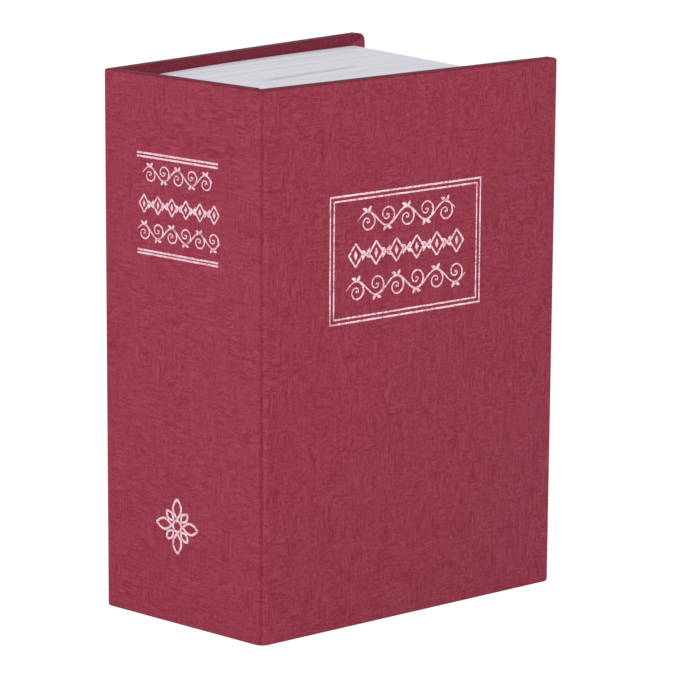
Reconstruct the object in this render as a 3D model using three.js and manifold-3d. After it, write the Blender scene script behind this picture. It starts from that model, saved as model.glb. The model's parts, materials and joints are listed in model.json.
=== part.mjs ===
// Book diversion safe: a steel cash box with a cam lock, hidden in a moulded page block between
// the boards of a small hardback book.
// Millimetres, +Z up. The book stands on the lower edges of its covers, spine towards -X and front
// cover towards -Y, with the cover a few degrees open. The origin is under the middle of the whole.
// Inside the book group, x runs from the spine's outer face to the fore-edge, y from the closed
// front cover's outer face to the back cover, and z from the lower edges to the upper ones.

import * as THREE from "three";
import { mergeVertices } from "three/addons/utils/BufferGeometryUtils.js";
import Module from "manifold-3d";

// Book
const bookWidth = 79.2;
const bookHeight = 115;
const bookDepth = 45;
const coverAjar = 9.4; // degrees between the front cover and its closed place

// Case: boards in one sheet of covering paper
const boardThickness = 2.4;
const paperThickness = 0.25;
const glueLine = 0.05; // every glued or seated pair of faces is this far apart
const turnIn = 12; // width of the paper folded over onto the inner faces
const coverCornerRadius = 0.5;
const spineCornerRadius = 1.2; // the outer corner where spine and back cover meet
const foldRadius = 2; // of the loose paper that turns the front corner of the spine
const foldAngle = 45; // degrees of that turn from the spine to the crease, which is the cover's hinge line
const foldCornerRadius = 2.2; // the front cover's outer corner beside the fold
const edgeRounding = 0.4; // along the upper and lower edges
const foldGap = 0.7; // from the spine's outer face to the front cover's end
const spineGap = 0.3; // between the closed front cover and the spine board's edge
const endpaperThickness = 0.15;
const endpaperMargin = 3;

// Page block: a hollow moulding whose three open sides are moulded as page edges
const pageRecess = 2; // from the covers' upper and lower edges, at the back cover
const foreEdgeRecess = 4.4; // from the covers' fore-edge, at the back cover
const pageDraft = 1.87; // degrees, so that the block is smaller towards the front cover
const pageWall = 1.8;
const pageWeb = 2; // thickness of the front face round the tray
const pageFrontGap = 0.2; // from the closed front cover's endpaper to the front face
const pageCornerRadius = 1.2;
const pageSleeve = 2; // how far a lip follows the tray behind the front face
const sleeveWall = 1.2;
const pageRibThickness = 1.2;
const pageRibs = 3; // on each long side
const leafGapWidth = 0.9;
const leafGapSway = 0.35; // how far the gaps between leaves wander
const leafGapWaves = 4; // how often a gap opens and closes on its way round the block
const leafSwayWaves = 2;
const leafSwayDrift = 3; // depth over which the sway moves on by one radian
const leafGaps = [
  // depth, place from the block's rear edge, and where on its way round a gap is widest, as a share
  { depth: 0.28, from: 3, widest: 0.8 },
  { depth: 0.12, from: 8.1, widest: 0.1 },
  { depth: 0.3, from: 13.4, widest: 0.95 },
  { depth: 0.12, from: 18.3, widest: 0.3 },
  { depth: 0.45, from: 22.9, widest: 0.885 },
  { depth: 0.2, from: 29.9, widest: 0.55 },
  { depth: 0.12, from: 34.2, widest: 0.75 },
];

// Tray
const traySheet = 0.8;
const traySpineMargin = 7; // from the spine's inner face to the tray
const trayForeMargin = 10; // from the covers' fore-edge to the tray
const trayEndMargin = 10; // from the covers' upper and lower edges to the tray
const trayCornerRadius = 2;
const trayFrontStep = 0.2; // the rim lies this far behind the page block's front face
const trayFit = 0.3; // between tray and page block
const earWidth = 7;
const earLength = 5.2;
const earInset = 12; // from the tray's side walls to the ears
const lidStopWidth = 6;
const lidStopReach = 3.2;
const lidStopInset = 10; // from the tray's upper and lower walls

// Screws, bosses and pads behind the tray floor
const screwRadius = 0.85;
const screwHeadRadius = 1.8;
const screwHeadHeight = 0.75;
const screwLength = 7;
const bossRadius = 2.4;
const screwClearance = 0.1;
const padWidth = 12;
const padSideInset = 8; // from the tray's side walls
const padEndInset = 12.5; // from the tray's upper and lower walls

// Lid and its hinge
const lidSheet = 0.8;
const lidFit = 0.3; // between the lid's edges and the tray walls
const lidSeatGap = 0.2; // between the shut lid and its stops
const pinRadius = 0.6;
const pinFit = 0.1;
const pinHeadRadius = 1.1;
const pinHeadHeight = 0.6;
const knuckleRadius = 1.3;
const knuckleSetback = 0.3; // from the closed endpaper to the knuckles
const knuckleGap = 0.3;
const knuckleCount = 7;
const hingeInset = 3.5; // from the tray's upper and lower walls to the hinge's ends
const leafDepth = 9;
const leafSheet = 0.8;
const rivetRadius = 0.95;
const rivetHeadRadius = 1.7;
const rivetHeadHeight = 0.6;
const rivetInset = 3; // from the leaf's rear edge
const rivetEndInset = 24; // from the leaf's ends

// Cam lock
const lockInset = 11; // from the tray's fore-edge wall to the lock's axis
const bezelRadius = 6.8;
const bezelThickness = 1.4;
const barrelRadius = 4.8;
const barrelFlat = 4.1; // half the distance between the barrel's two flats
const barrelLength = 10.6; // behind the lid's rear face
const lockFit = 0.1;
const plugRadius = 3.2;
const plugHeadRadius = 3.9;
const plugHeadHeight = 0.8;
const keywayWidth = 1.5;
const keywayHeight = 4.8;
const keywayDepth = 9.6;
const tailSquare = 3.6; // the plug's square end, which carries the cam
const waferCount = 4;
const waferThickness = 0.6;
const waferWidth = 4.2;
const waferPitch = 1.7;
const waferWindowWidth = 2;
const waferWindowHeight = 3.2;
const washerRadius = 6.2;
const washerThickness = 0.5;
const nutAcrossFlats = 13;
const nutThickness = 2.4;
const camThickness = 1;
const camHubRadius = 3.9;
const camReach = 9.3; // from the lock's axis
const camTipWidth = 5;
const camScrewHeadRadius = 2.6;
const camScrewHeadHeight = 1.1;
const camScrewLength = 4;
const camScrewRadius = 0.9;
const keeperSheet = 0.8;
const keeperHeight = 12;
const keeperLeg = 9;
const keeperReach = 4.6;
const camGap = 0.3; // between cam and keeper
const slotWidth = 0.65; // of the screwdriver slots
const rimSoftening = 0.35; // of the lock's bezel

// Modelling allowances
const overlap = 0.5; // how far joined shapes run into each other
const past = 1; // how far a cutter runs past the face that it opens
const roundSegments = 28;
const smallSegments = 16;
const cornerSegments = 3;
const stepsAcross = 14; // along the page block's upper and lower sides
const stepsUp = 18; // along its fore-edge

// Places that follow from the sizes
const coverThickness = boardThickness + 2 * (paperThickness + glueLine);
const creaseTurn = THREE.MathUtils.degToRad(foldAngle);
const creaseX = foldRadius * (1 - Math.cos(creaseTurn));
const creaseY = foldRadius * (1 - Math.sin(creaseTurn));
const lining = glueLine + endpaperThickness;
const backInner = bookDepth - coverThickness;
const frontInner = coverThickness + lining;
const pageFront = frontInner + pageFrontGap;
const pageBack = backInner - lining - glueLine;
const trayLeft = coverThickness + traySpineMargin;
const trayRight = bookWidth - trayForeMargin;
const trayBottom = trayEndMargin;
const trayTop = bookHeight - trayEndMargin;
const trayFront = pageFront + trayFrontStep;
const floorBack = pageBack - glueLine - screwHeadHeight - glueLine;
const pinX = trayLeft + traySheet + glueLine + knuckleRadius;
const pinY = frontInner + knuckleSetback + knuckleRadius;
const lidBack = pinY + knuckleRadius;
const lidFront = lidBack - lidSheet;
const lockX = trayRight - lockInset;
const lockZ = bookHeight / 2;
const barrelEnd = lidBack + barrelLength;
const camFront = barrelEnd + camGap;
const camBack = camFront + camThickness;
const keeperBack = camFront - camGap;

const wasm = await Module();
wasm.setup();

// A closed geometry as a solid for cutting and joining.
function solid(geometry) {
  const bare = geometry.clone();
  bare.deleteAttribute("normal");
  bare.deleteAttribute("uv");
  const merged = mergeVertices(bare, 1e-4);
  const triVerts = new Uint32Array(merged.index.array);
  const vertProperties = new Float32Array(merged.attributes.position.array);
  return new wasm.Manifold(new wasm.Mesh({ numProp: 3, vertProperties, triVerts }));
}

// A solid as a geometry with flat shading.
function geometryOf(shape) {
  const { vertProperties, triVerts } = shape.getMesh();
  const indexed = new THREE.BufferGeometry()
    .setAttribute("position", new THREE.BufferAttribute(new Float32Array(vertProperties), 3))
    .setIndex(new THREE.BufferAttribute(new Uint32Array(triVerts), 1));
  const geometry = indexed.toNonIndexed();
  geometry.computeVertexNormals();
  return geometry;
}

function block([x0, x1], [y0, y1], [z0, z1]) {
  const geometry = new THREE.BoxGeometry(x1 - x0, y1 - y0, z1 - z0);
  return solid(geometry.translate((x0 + x1) / 2, (y0 + y1) / 2, (z0 + z1) / 2));
}

// Round bars along each axis.
function rodY(radius, [y0, y1], x, z, segments = smallSegments) {
  const bar = new THREE.CylinderGeometry(radius, radius, y1 - y0, segments);
  return solid(bar.translate(x, (y0 + y1) / 2, z));
}

function rodZ(radius, [z0, z1], x, y, segments = smallSegments) {
  const bar = new THREE.CylinderGeometry(radius, radius, z1 - z0, segments).rotateX(Math.PI / 2);
  return solid(bar.translate(x, y, (z0 + z1) / 2));
}

function rodX(radius, [x0, x1], y, z, segments = smallSegments) {
  const bar = new THREE.CylinderGeometry(radius, radius, x1 - x0, segments).rotateZ(Math.PI / 2);
  return solid(bar.translate((x0 + x1) / 2, y, z));
}

// A rectangle with one radius for each corner, from the lower left one anticlockwise.
function rounded([x0, x1], [y0, y1], radii) {
  const [a, b, c, d] = radii.map((r) => Math.max(r, 0));
  const shape = new THREE.Shape();
  shape.moveTo(x0 + a, y0).lineTo(x1 - b, y0);
  if (b > 0) shape.absarc(x1 - b, y0 + b, b, -Math.PI / 2, 0);
  shape.lineTo(x1, y1 - c);
  if (c > 0) shape.absarc(x1 - c, y1 - c, c, 0, Math.PI / 2);
  shape.lineTo(x0 + d, y1);
  if (d > 0) shape.absarc(x0 + d, y1 - d, d, Math.PI / 2, Math.PI);
  shape.lineTo(x0, y0 + a);
  if (a > 0) shape.absarc(x0 + a, y0 + a, a, Math.PI, 1.5 * Math.PI);
  return shape;
}

// An outline drawn in plan, made into an upright solid with softened ends.
function upright(shape, [z0, z1], softening = 0) {
  const geometry = new THREE.ExtrudeGeometry(shape, {
    depth: z1 - z0 - 2 * softening,
    bevelEnabled: softening > 0,
    bevelThickness: softening,
    bevelSize: softening,
    bevelOffset: -softening,
    bevelSegments: cornerSegments,
    curveSegments: cornerSegments,
  });
  return solid(geometry.translate(0, 0, z0 + softening));
}

// An outline drawn in x and z, made into a solid between two depths.
function facing(shape, [y0, y1], segments = cornerSegments) {
  const geometry = new THREE.ExtrudeGeometry(shape, {
    depth: y1 - y0,
    bevelEnabled: false,
    curveSegments: segments,
  });
  return solid(geometry.rotateX(Math.PI / 2).translate(0, y1, 0));
}

// A profile of [radius, y] points turned round the lock's axis, from one end of the axis to the other.
function turned(profile, segments = roundSegments) {
  const points = profile.map(([radius, y]) => new THREE.Vector2(radius, y));
  return solid(new THREE.LatheGeometry(points, segments).translate(lockX, 0, lockZ));
}

const finishes = {
  board: new THREE.MeshStandardMaterial({ color: 0x8c8578, roughness: 0.9 }),
  coveringPaper: new THREE.MeshStandardMaterial({ color: 0x963f50, roughness: 0.6 }),
  endpaper: new THREE.MeshStandardMaterial({ color: 0xe6e1d8, roughness: 0.8 }),
  pagePlastic: new THREE.MeshStandardMaterial({ color: 0xdcdbe2, roughness: 0.45 }),
  powderCoat: new THREE.MeshStandardMaterial({ color: 0x1d1e20, roughness: 0.5 }),
  zinc: new THREE.MeshStandardMaterial({ color: 0xb8bbc0, roughness: 0.3, metalness: 1 }),
  steel: new THREE.MeshStandardMaterial({ color: 0xa7aaae, roughness: 0.4, metalness: 1 }),
  brass: new THREE.MeshStandardMaterial({ color: 0xc2a15a, roughness: 0.35, metalness: 1 }),
  foam: new THREE.MeshStandardMaterial({ color: 0x3a3a3a, roughness: 1 }),
};

function add(group, name, shape, finish) {
  const mesh = new THREE.Mesh(geometryOf(shape), finish);
  mesh.name = name;
  group.add(mesh);
}

// One stretch of the case: a board inside its covering paper. The paper is folded over every edge
// and leaves an open field on the inner face, which the slab given as `field` cuts out.
function boardInPaper([x0, x1], [y0, y1], radii, field) {
  const paperInset = paperThickness;
  const boardInset = paperThickness + glueLine;
  const inner = (inset) =>
    rounded([x0 + inset, x1 - inset], [y0 + inset, y1 - inset], radii.map((r) => r - inset));
  const outside = upright(rounded([x0, x1], [y0, y1], radii), [0, bookHeight], edgeRounding);
  const hollow = upright(inner(paperInset), [paperInset, bookHeight - paperInset]);
  const board = upright(inner(boardInset), [boardInset, bookHeight - boardInset]);
  return { board, paper: outside.subtract(hollow).subtract(field) };
}

function frontCover(group) {
  const radii = [foldCornerRadius, coverCornerRadius, coverCornerRadius, coverCornerRadius];
  const field = block(
    [foldGap + turnIn, bookWidth - turnIn],
    [coverThickness / 2, coverThickness + past],
    [turnIn, bookHeight - turnIn],
  );
  const { board, paper } = boardInPaper([foldGap, bookWidth], [0, coverThickness], radii, field);
  add(group, "front_board", board, finishes.board);
  add(group, "front_cover_paper", paper, finishes.coveringPaper);
  const sheet = block(
    [foldGap + endpaperMargin, bookWidth - endpaperMargin],
    [coverThickness + glueLine, frontInner],
    [endpaperMargin, bookHeight - endpaperMargin],
  );
  add(group, "front_endpaper", sheet, finishes.endpaper);
}

// The spine's paper runs on past the board and bends round the front corner, as far as the crease.
function foldFlap(end) {
  const inner = foldRadius - paperThickness;
  const flap = new THREE.Shape();
  flap.moveTo(0, end).lineTo(0, foldRadius);
  flap.absarc(foldRadius, foldRadius, foldRadius, Math.PI, Math.PI + creaseTurn);
  flap.absarc(foldRadius, foldRadius, inner, Math.PI + creaseTurn, Math.PI, true);
  flap.lineTo(paperThickness, end);
  return upright(flap, [edgeRounding, bookHeight - edgeRounding]);
}

function spine(group) {
  const front = coverThickness + lining + spineGap;
  const back = backInner - glueLine;
  const field = block(
    [coverThickness / 2, coverThickness + past],
    [front + paperThickness, back - paperThickness],
    [turnIn, bookHeight - turnIn],
  );
  const { board, paper } = boardInPaper([0, coverThickness], [front, back], [0, 0, 0, 0], field);
  add(group, "spine_board", board, finishes.board);
  add(group, "spine_paper", paper.add(foldFlap(front + overlap)), finishes.coveringPaper);
}

function backCover(group) {
  const radii = [0, coverCornerRadius, coverCornerRadius, spineCornerRadius];
  const field = block(
    [coverThickness + turnIn, bookWidth - turnIn],
    [backInner - past, bookDepth - coverThickness / 2],
    [turnIn, bookHeight - turnIn],
  );
  const { board, paper } = boardInPaper([0, bookWidth], [backInner, bookDepth], radii, field);
  add(group, "back_board", board, finishes.board);
  add(group, "back_cover_paper", paper, finishes.coveringPaper);
  const sheet = block(
    [coverThickness + endpaperMargin, bookWidth - endpaperMargin],
    [backInner - lining, backInner - glueLine],
    [endpaperMargin, bookHeight - endpaperMargin],
  );
  add(group, "back_endpaper", sheet, finishes.endpaper);
}

// The page block's outline at one depth, as [x, z] points along the lower side, up the fore-edge
// and back along the upper side. `inset` draws all three sides in.
function pageOutline(inset) {
  const left = coverThickness + glueLine;
  const right = bookWidth - foreEdgeRecess - inset;
  const low = pageRecess + inset;
  const high = bookHeight - pageRecess - inset;
  const r = pageCornerRadius;
  const points = [];
  const bend = (x, z, start) => {
    for (let i = 1; i < cornerSegments; i++) {
      const angle = start + (i / cornerSegments) * (Math.PI / 2);
      points.push([x + r * Math.cos(angle), z + r * Math.sin(angle)]);
    }
  };
  for (let i = 0; i <= stepsAcross; i++)
    points.push([left + (i / stepsAcross) * (right - r - left), low]);
  bend(right - r, low + r, -Math.PI / 2);
  for (let i = 0; i <= stepsUp; i++)
    points.push([right, low + r + (i / stepsUp) * (high - low - 2 * r)]);
  bend(right - r, high - r, 0);
  for (let i = stepsAcross; i >= 0; i--)
    points.push([left + (i / stepsAcross) * (right - r - left), high]);
  return points;
}

// A skin over outlines at rising depths. Each end is a fan about the middle of its outline.
function lofted(rings) {
  const count = rings[0].length;
  const positions = rings.flat(2);
  const index = [];
  for (let ring = 0; ring + 1 < rings.length; ring++)
    for (let i = 0; i < count; i++) {
      const a = ring * count + i;
      const b = ring * count + ((i + 1) % count);
      index.push(a, b + count, b, a, a + count, b + count);
    }
  for (const end of [0, rings.length - 1]) {
    const hub = positions.length / 3;
    const sum = rings[end].reduce((total, point) => total.map((v, k) => v + point[k]), [0, 0, 0]);
    positions.push(...sum.map((v) => v / count));
    for (let i = 0; i < count; i++) {
      const rim = [end * count + i, end * count + ((i + 1) % count)];
      index.push(hub, ...(end ? rim.reverse() : rim));
    }
  }
  const geometry = new THREE.BufferGeometry();
  geometry.setAttribute("position", new THREE.Float32BufferAttribute(positions, 3));
  return solid(geometry.setIndex(index));
}

// The moulding's outside: drafted, with wandering gaps between the leaves on its three open sides.
function pageEdges() {
  const taper = Math.tan(THREE.MathUtils.degToRad(pageDraft));
  const stations = [{ y: pageFront, depth: 0, widest: 0, sway: 0 }];
  for (const { depth, from, widest } of [...leafGaps].reverse())
    for (const step of [-1, 0, 1]) {
      const y = pageBack - from + (step * leafGapWidth) / 2;
      stations.push({ y, depth: step ? 0 : depth, widest, sway: leafGapSway });
    }
  stations.push({ y: pageBack, depth: 0, widest: 0, sway: 0 });
  const rings = stations.map(({ y, depth, widest, sway }) => {
    const draft = taper * (pageBack - y);
    const crest = pageOutline(draft);
    const trough = pageOutline(draft + depth);
    return crest.map(([x, z], i) => {
      const along = i / (crest.length - 1);
      const share = 0.5 + 0.5 * Math.cos(2 * Math.PI * leafGapWaves * (along - widest));
      const wander = sway * Math.sin(2 * Math.PI * leafSwayWaves * along + y / leafSwayDrift);
      const [tx, tz] = trough[i];
      return [x + share * (tx - x), y + wander, z + share * (tz - z)];
    });
  });
  return lofted(rings);
}

function screwPlaces() {
  const places = [];
  for (const x of [trayLeft + earInset, trayRight - earInset])
    for (const z of [trayBottom - earLength / 2, trayTop + earLength / 2]) places.push([x, z]);
  return places;
}

// The moulding is hollow and open at the back. A lip follows the tray behind the front face, ribs
// tie the lip to the outer walls, and four bosses take the tray's screws.
function pageFrame(group) {
  const taper = Math.tan(THREE.MathUtils.degToRad(pageDraft));
  const webBack = pageFront + pageWeb;
  const wallLeft = coverThickness + glueLine + pageWall;
  const ring = (y, inset) =>
    pageOutline(taper * (pageBack - y) + inset).map(([x, z]) => [Math.max(x, wallLeft), y, z]);
  const hollow = lofted([ring(webBack, pageWall), ring(pageBack + past, pageWall)]);
  const within = lofted([ring(pageFront, pageWall / 2), ring(pageBack, pageWall / 2)]);
  const depth = [webBack - overlap, webBack + pageSleeve];
  const sleeveX = [trayLeft - trayFit - sleeveWall, trayRight + trayFit + sleeveWall];
  const sleeveZ = [trayBottom - trayFit - sleeveWall, trayTop + trayFit + sleeveWall];
  let shape = pageEdges().subtract(hollow).add(block(sleeveX, depth, sleeveZ));
  for (let i = 1; i <= pageRibs; i++) {
    const z = (i / (pageRibs + 1)) * bookHeight;
    const span = [z - pageRibThickness / 2, z + pageRibThickness / 2];
    shape = shape.add(block([wallLeft - overlap, sleeveX[0] + overlap], depth, span));
    const outer = block([sleeveX[1] - overlap, bookWidth], depth, span);
    shape = shape.add(outer.intersect(within));
  }
  const bossEnd = floorBack - traySheet - glueLine;
  for (const [x, z] of screwPlaces()) {
    const boss = rodY(bossRadius, [webBack - overlap, bossEnd], x, z);
    const pilot = [bossEnd - screwLength, bossEnd + past];
    shape = shape
      .add(boss.intersect(within))
      .subtract(rodY(screwRadius + screwClearance, pilot, x, z));
  }
  const mouth = rounded(
    [trayLeft - trayFit, trayRight + trayFit],
    [trayBottom - trayFit, trayTop + trayFit],
    new Array(4).fill(trayCornerRadius),
  );
  shape = shape.subtract(facing(mouth, [pageFront - past, webBack + pageSleeve + past]));
  add(group, "page_frame", shape, finishes.pagePlastic);
}

// A folded steel box, open at the front. Four ears of its floor reach behind the bosses, and two
// stops near the fore-edge hold the shut lid.
function tray(group) {
  const outline = (inset) =>
    rounded(
      [trayLeft + inset, trayRight - inset],
      [trayBottom + inset, trayTop - inset],
      new Array(4).fill(trayCornerRadius - inset),
    );
  const floorFront = floorBack - traySheet;
  let shape = facing(outline(0), [trayFront, floorBack]);
  shape = shape.subtract(facing(outline(traySheet), [trayFront - past, floorFront]));
  for (const [x, z] of screwPlaces()) {
    const outward = z > bookHeight / 2 ? 1 : -1;
    const ear = [z - outward * earLength, z + (outward * earLength) / 2].sort((a, b) => a - b);
    shape = shape.add(block([x - earWidth / 2, x + earWidth / 2], [floorFront, floorBack], ear));
    shape = shape.subtract(
      rodY(screwRadius + screwClearance, [floorFront - past, floorBack + past], x, z),
    );
  }
  const stopFront = lidBack + lidSeatGap;
  for (const z of [trayBottom + lidStopInset, trayTop - lidStopInset]) {
    const reach = [trayRight - traySheet - lidStopReach, trayRight - traySheet / 2];
    const span = [z - lidStopWidth / 2, z + lidStopWidth / 2];
    shape = shape.add(block(reach, [stopFront, stopFront + traySheet], span));
  }
  for (const [y, z] of rivetPlaces())
    shape = shape.subtract(
      rodX(rivetRadius + screwClearance, [trayLeft - past, trayLeft + traySheet + past], y, z),
    );
  add(group, "tray", shape, finishes.powderCoat);
}

// The screws of the ears, and the pads that bond the floor to the back cover.
function traySeat(group) {
  const headFront = floorBack + glueLine;
  const headBack = headFront + screwHeadHeight;
  screwPlaces().forEach(([x, z], i) => {
    const head = rodY(screwHeadRadius, [headFront, headBack], x, z);
    const slot = block(
      [x - screwHeadRadius, x + screwHeadRadius],
      [headFront + screwHeadHeight / 2, headBack + past],
      [z - slotWidth / 2, z + slotWidth / 2],
    );
    const shank = [floorBack - screwLength, headFront + screwHeadHeight / 4];
    const screw = head.add(rodY(screwRadius, shank, x, z)).subtract(slot);
    add(group, `tray_screw_${i + 1}`, screw, finishes.steel);
  });
  const padZ = [trayBottom + padEndInset, trayTop - padEndInset];
  const padY = [floorBack + glueLine, backInner - lining - glueLine];
  const padPlaces = [trayLeft + padSideInset, trayRight - padSideInset - padWidth];
  padPlaces.forEach((x, i) => {
    add(group, `foam_pad_${i + 1}`, block([x, x + padWidth], padY, padZ), finishes.foam);
  });
}

const hingeRange = [trayBottom + hingeInset, trayTop - hingeInset];

// Knuckles share the hinge's length in turn: the leaf on the tray has the first and the last.
function knuckles(first) {
  const [start, end] = hingeRange;
  const pitch = (end - start) / knuckleCount;
  const spans = [];
  for (let i = first; i < knuckleCount; i += 2)
    spans.push([start + i * pitch + knuckleGap / 2, start + (i + 1) * pitch - knuckleGap / 2]);
  return spans;
}

function rivetPlaces() {
  const y = pinY + leafDepth - rivetInset;
  return [hingeRange[0] + rivetEndInset, hingeRange[1] - rivetEndInset].map((z) => [y, z]);
}

function hinge(group) {
  const seat = trayLeft + traySheet + glueLine;
  const leafX = [seat, seat + leafSheet];
  const bore = rodZ(pinRadius + pinFit, [0, bookHeight], pinX, pinY, roundSegments);
  let leaf = block(leafX, [pinY + knuckleRadius + knuckleGap, pinY + leafDepth], hingeRange);
  for (const span of knuckles(0)) {
    leaf = leaf.add(rodZ(knuckleRadius, span, pinX, pinY, roundSegments));
    leaf = leaf.add(block(leafX, [pinY, pinY + leafDepth / 2], span));
  }
  for (const [y, z] of rivetPlaces())
    leaf = leaf.subtract(rodX(rivetRadius + screwClearance, [0, bookWidth], y, z));
  add(group, "hinge_leaf", leaf.subtract(bore), finishes.powderCoat);

  const low = hingeRange[0] - glueLine;
  const high = hingeRange[1] + glueLine;
  const pin = rodZ(pinRadius, [low - pinHeadHeight / 2, high + pinHeadHeight / 2], pinX, pinY)
    .add(rodZ(pinHeadRadius, [high, high + pinHeadHeight], pinX, pinY))
    .add(rodZ(pinHeadRadius, [low - pinHeadHeight, low], pinX, pinY));
  add(group, "hinge_pin", pin, finishes.steel);

  rivetPlaces().forEach(([y, z], i) => {
    const outer = trayLeft - glueLine;
    const inner = leafX[1] + glueLine;
    const rivet = rodX(rivetRadius, [outer - rivetHeadHeight / 2, inner + rivetHeadHeight / 2], y, z)
      .add(rodX(rivetHeadRadius, [outer - rivetHeadHeight, outer], y, z))
      .add(rodX(rivetHeadRadius, [inner, inner + rivetHeadHeight], y, z));
    add(group, `leaf_rivet_${i + 1}`, rivet, finishes.steel);
  });
}

function lid(group) {
  const left = pinX + knuckleRadius + lidFit;
  const right = trayRight - traySheet - lidFit;
  const low = trayBottom + traySheet + lidFit;
  const high = trayTop - traySheet - lidFit;
  const outer = new Array(4).fill(trayCornerRadius - traySheet);
  let shape = facing(rounded([left, right], [low, high], outer), [lidFront, lidBack]);
  for (const span of knuckles(1)) {
    shape = shape.add(rodZ(knuckleRadius, span, pinX, pinY, roundSegments));
    shape = shape.add(block([pinX, left + overlap], [lidFront, lidBack], span));
  }
  const bore = rodZ(pinRadius + pinFit, [0, bookHeight], pinX, pinY, roundSegments);
  const through = [lidFront - past, lidBack + past];
  const hole = doubleD(barrelRadius + lockFit, barrelFlat + lockFit, through);
  add(group, "lid", shape.subtract(bore).subtract(hole), finishes.powderCoat);
}

// A round bar on the lock's axis with two flats, as the barrel and its hole in the lid have.
function doubleD(radius, flat, [y0, y1]) {
  const sides = block(
    [lockX - radius - past, lockX + radius + past],
    [y0 - past, y1 + past],
    [lockZ - flat, lockZ + flat],
  );
  return rodY(radius, [y0, y1], lockX, lockZ, roundSegments).intersect(sides);
}

function lockBody(group) {
  const seat = lidFront - glueLine;
  const face = seat - bezelThickness;
  const bezel = turned([
    [0, face],
    [bezelRadius - 3 * rimSoftening, face],
    [bezelRadius - rimSoftening, face + rimSoftening],
    [bezelRadius, face + 2 * rimSoftening],
    [bezelRadius, seat],
    [0, seat],
  ]);
  const barrel = doubleD(barrelRadius, barrelFlat, [seat - overlap, barrelEnd]);
  const counterbore = face + plugHeadHeight + 2 * lockFit;
  const housing = bezel
    .add(barrel)
    .subtract(rodY(plugHeadRadius + lockFit, [face - past, counterbore], lockX, lockZ, roundSegments))
    .subtract(rodY(plugRadius + lockFit, [face, barrelEnd + past], lockX, lockZ, roundSegments));
  add(group, "lock_housing", housing, finishes.zinc);

  const bore = rodY(barrelRadius + lockFit, [lidBack, barrelEnd], lockX, lockZ, roundSegments);
  const washerBack = lidBack + glueLine + washerThickness;
  const washer = rodY(washerRadius, [lidBack + glueLine, washerBack], lockX, lockZ, roundSegments);
  add(group, "lock_washer", washer.subtract(bore), finishes.steel);
  const nutRadius = nutAcrossFlats / Math.sqrt(3);
  const nutY = [washerBack + glueLine, washerBack + glueLine + nutThickness];
  const nut = rodY(nutRadius, nutY, lockX, lockZ, 6).subtract(bore);
  add(group, "lock_nut", nut, finishes.brass);
}

// The plug with its wafers, the cam on its square tail and the cam's screw. Unlocked, the keyway
// lies level and the cam points up; a quarter turn sends the cam behind the keeper.
function lockPlug(group) {
  const face = lidFront - glueLine - bezelThickness + lockFit;
  const neck = face + plugHeadHeight;
  const tailEnd = camBack - glueLine;
  let plug = turned([
    [0, face],
    [plugHeadRadius - rimSoftening / 2, face],
    [plugHeadRadius, face + rimSoftening / 2],
    [plugHeadRadius, neck],
    [plugRadius, neck],
    [plugRadius, barrelEnd + camGap / 2],
    [0, barrelEnd + camGap / 2],
  ]);
  const half = tailSquare / 2;
  plug = plug.add(
    block([lockX - half, lockX + half], [barrelEnd, tailEnd], [lockZ - half, lockZ + half]),
  );
  plug = plug.subtract(
    block(
      [lockX - keywayHeight / 2, lockX + keywayHeight / 2],
      [face - past, face + keywayDepth],
      [lockZ - keywayWidth / 2, lockZ + keywayWidth / 2],
    ),
  );
  const reach = plugRadius - lockFit / 2;
  for (let i = 0; i < waferCount; i++) {
    const y = neck + waferPitch * (i + 1) - waferPitch / 2;
    const slot = [y - waferThickness / 2 - lockFit, y + waferThickness / 2 + lockFit];
    const side = waferWidth / 2 + lockFit;
    plug = plug.subtract(
      block([lockX - plugRadius - past, lockX + plugRadius + past], slot, [lockZ - side, lockZ + side]),
    );
    const span = [y - waferThickness / 2, y + waferThickness / 2];
    const plate = block(
      [lockX - reach, lockX + reach],
      span,
      [lockZ - waferWidth / 2, lockZ + waferWidth / 2],
    );
    const window = block(
      [lockX - waferWindowHeight / 2, lockX + waferWindowHeight / 2],
      [y - waferThickness, y + waferThickness],
      [lockZ - waferWindowWidth / 2, lockZ + waferWindowWidth / 2],
    );
    const disc = rodY(reach, span, lockX, lockZ, roundSegments);
    add(group, `wafer_${i + 1}`, plate.intersect(disc).subtract(window), finishes.brass);
  }
  const tapped = [tailEnd - camScrewLength - camGap, tailEnd + past];
  plug = plug.subtract(rodY(camScrewRadius + lockFit, tapped, lockX, lockZ));
  add(group, "lock_plug", plug, finishes.zinc);

  const arm = new THREE.Shape();
  const tip = camTipWidth / 2;
  arm.moveTo(-camHubRadius, 0).lineTo(-tip, camReach - tip);
  arm.absarc(0, camReach - tip, tip, Math.PI, 0, true);
  arm.lineTo(camHubRadius, 0);
  arm.absarc(0, 0, camHubRadius, 0, -Math.PI, true);
  const hole = half + lockFit;
  const cam = facing(arm, [camFront, camBack], smallSegments / 2)
    .translate([lockX, 0, lockZ])
    .subtract(
      block(
        [lockX - hole, lockX + hole],
        [camFront - past, camBack + past],
        [lockZ - hole, lockZ + hole],
      ),
    );
  add(group, "cam", cam, finishes.steel);

  const headFront = camBack + glueLine;
  const headBack = headFront + camScrewHeadHeight;
  const shank = [tailEnd - camScrewLength, headFront + camScrewHeadHeight / 4];
  const screw = rodY(camScrewHeadRadius, [headFront, headBack], lockX, lockZ, roundSegments)
    .add(rodY(camScrewRadius, shank, lockX, lockZ))
    .subtract(
      block(
        [lockX - camScrewHeadRadius, lockX + camScrewHeadRadius],
        [headFront + camScrewHeadHeight / 2, headBack + past],
        [lockZ - slotWidth / 2, lockZ + slotWidth / 2],
      ),
    );
  add(group, "cam_screw", screw, finishes.steel);
}

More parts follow.
